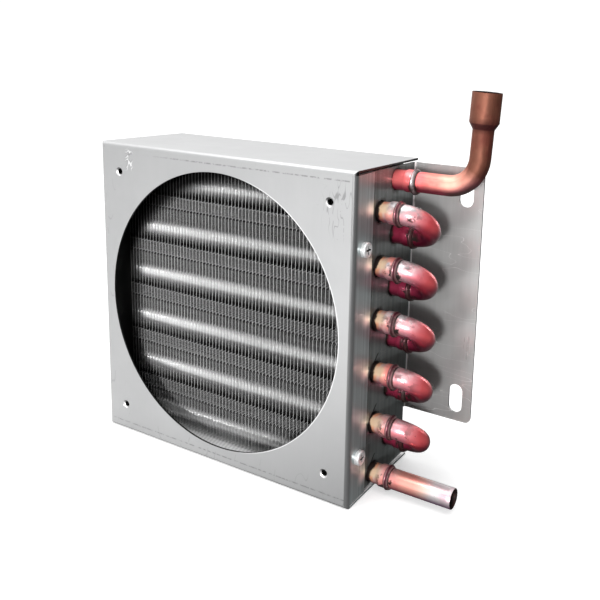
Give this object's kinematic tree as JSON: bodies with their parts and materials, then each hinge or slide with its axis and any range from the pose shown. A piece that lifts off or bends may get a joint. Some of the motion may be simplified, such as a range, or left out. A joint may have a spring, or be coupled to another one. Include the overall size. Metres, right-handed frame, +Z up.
{
  "type": "finned condenser coil",
  "caption": "Copper tube coil with aluminium fins in a folded sheet metal fan shroud with a round air opening, a slotted mounting flange, a belled inlet and a plain outlet tube.",
  "frame": {"origin": "centre of the round fan opening, on the outer surface of the fan face", "axes": "+X along the tubes towards the inlet and outlet, +Y from the fan face to the back, +Z up"},
  "size_m": [0.2139, 0.0575, 0.1892],
  "materials": {
    "shroud_sheet": "zinc-coated steel sheet, satin, finely brushed",
    "plate_sheet": "zinc-coated steel sheet, half bright",
    "fins": "bare aluminium foil, bright",
    "copper": "drawn copper tube, half bright, heat stained near the joints",
    "solder": "silver brazing alloy with flux stains",
    "screw_plating": "bright zinc plating"
  },
  "bodies": {
    "root": {"fan_shroud": "shroud_sheet", "right_end_plate": "plate_sheet", "left_end_plate": "plate_sheet", "fin_pack": "fins", "hairpin_1": "copper", "hairpin_2": "copper", "hairpin_3": "copper", "hairpin_4": "copper", "hairpin_5": "copper", "hairpin_6": "copper", "return_bend_1": "copper", "return_bend_2": "copper", "return_bend_3": "copper", "return_bend_4": "copper", "return_bend_5": "copper", "inlet_elbow": "copper", "outlet_stub": "copper", "braze_ring_01": "solder", "braze_ring_02": "solder", "braze_ring_03": "solder", "braze_ring_04": "solder", "braze_ring_05": "solder", "braze_ring_06": "solder", "braze_ring_07": "solder", "braze_ring_08": "solder", "braze_ring_09": "solder", "braze_ring_10": "solder", "braze_ring_11": "solder", "braze_ring_12": "solder", "side_screws": "screw_plating"}
  },
  "joints": []
}
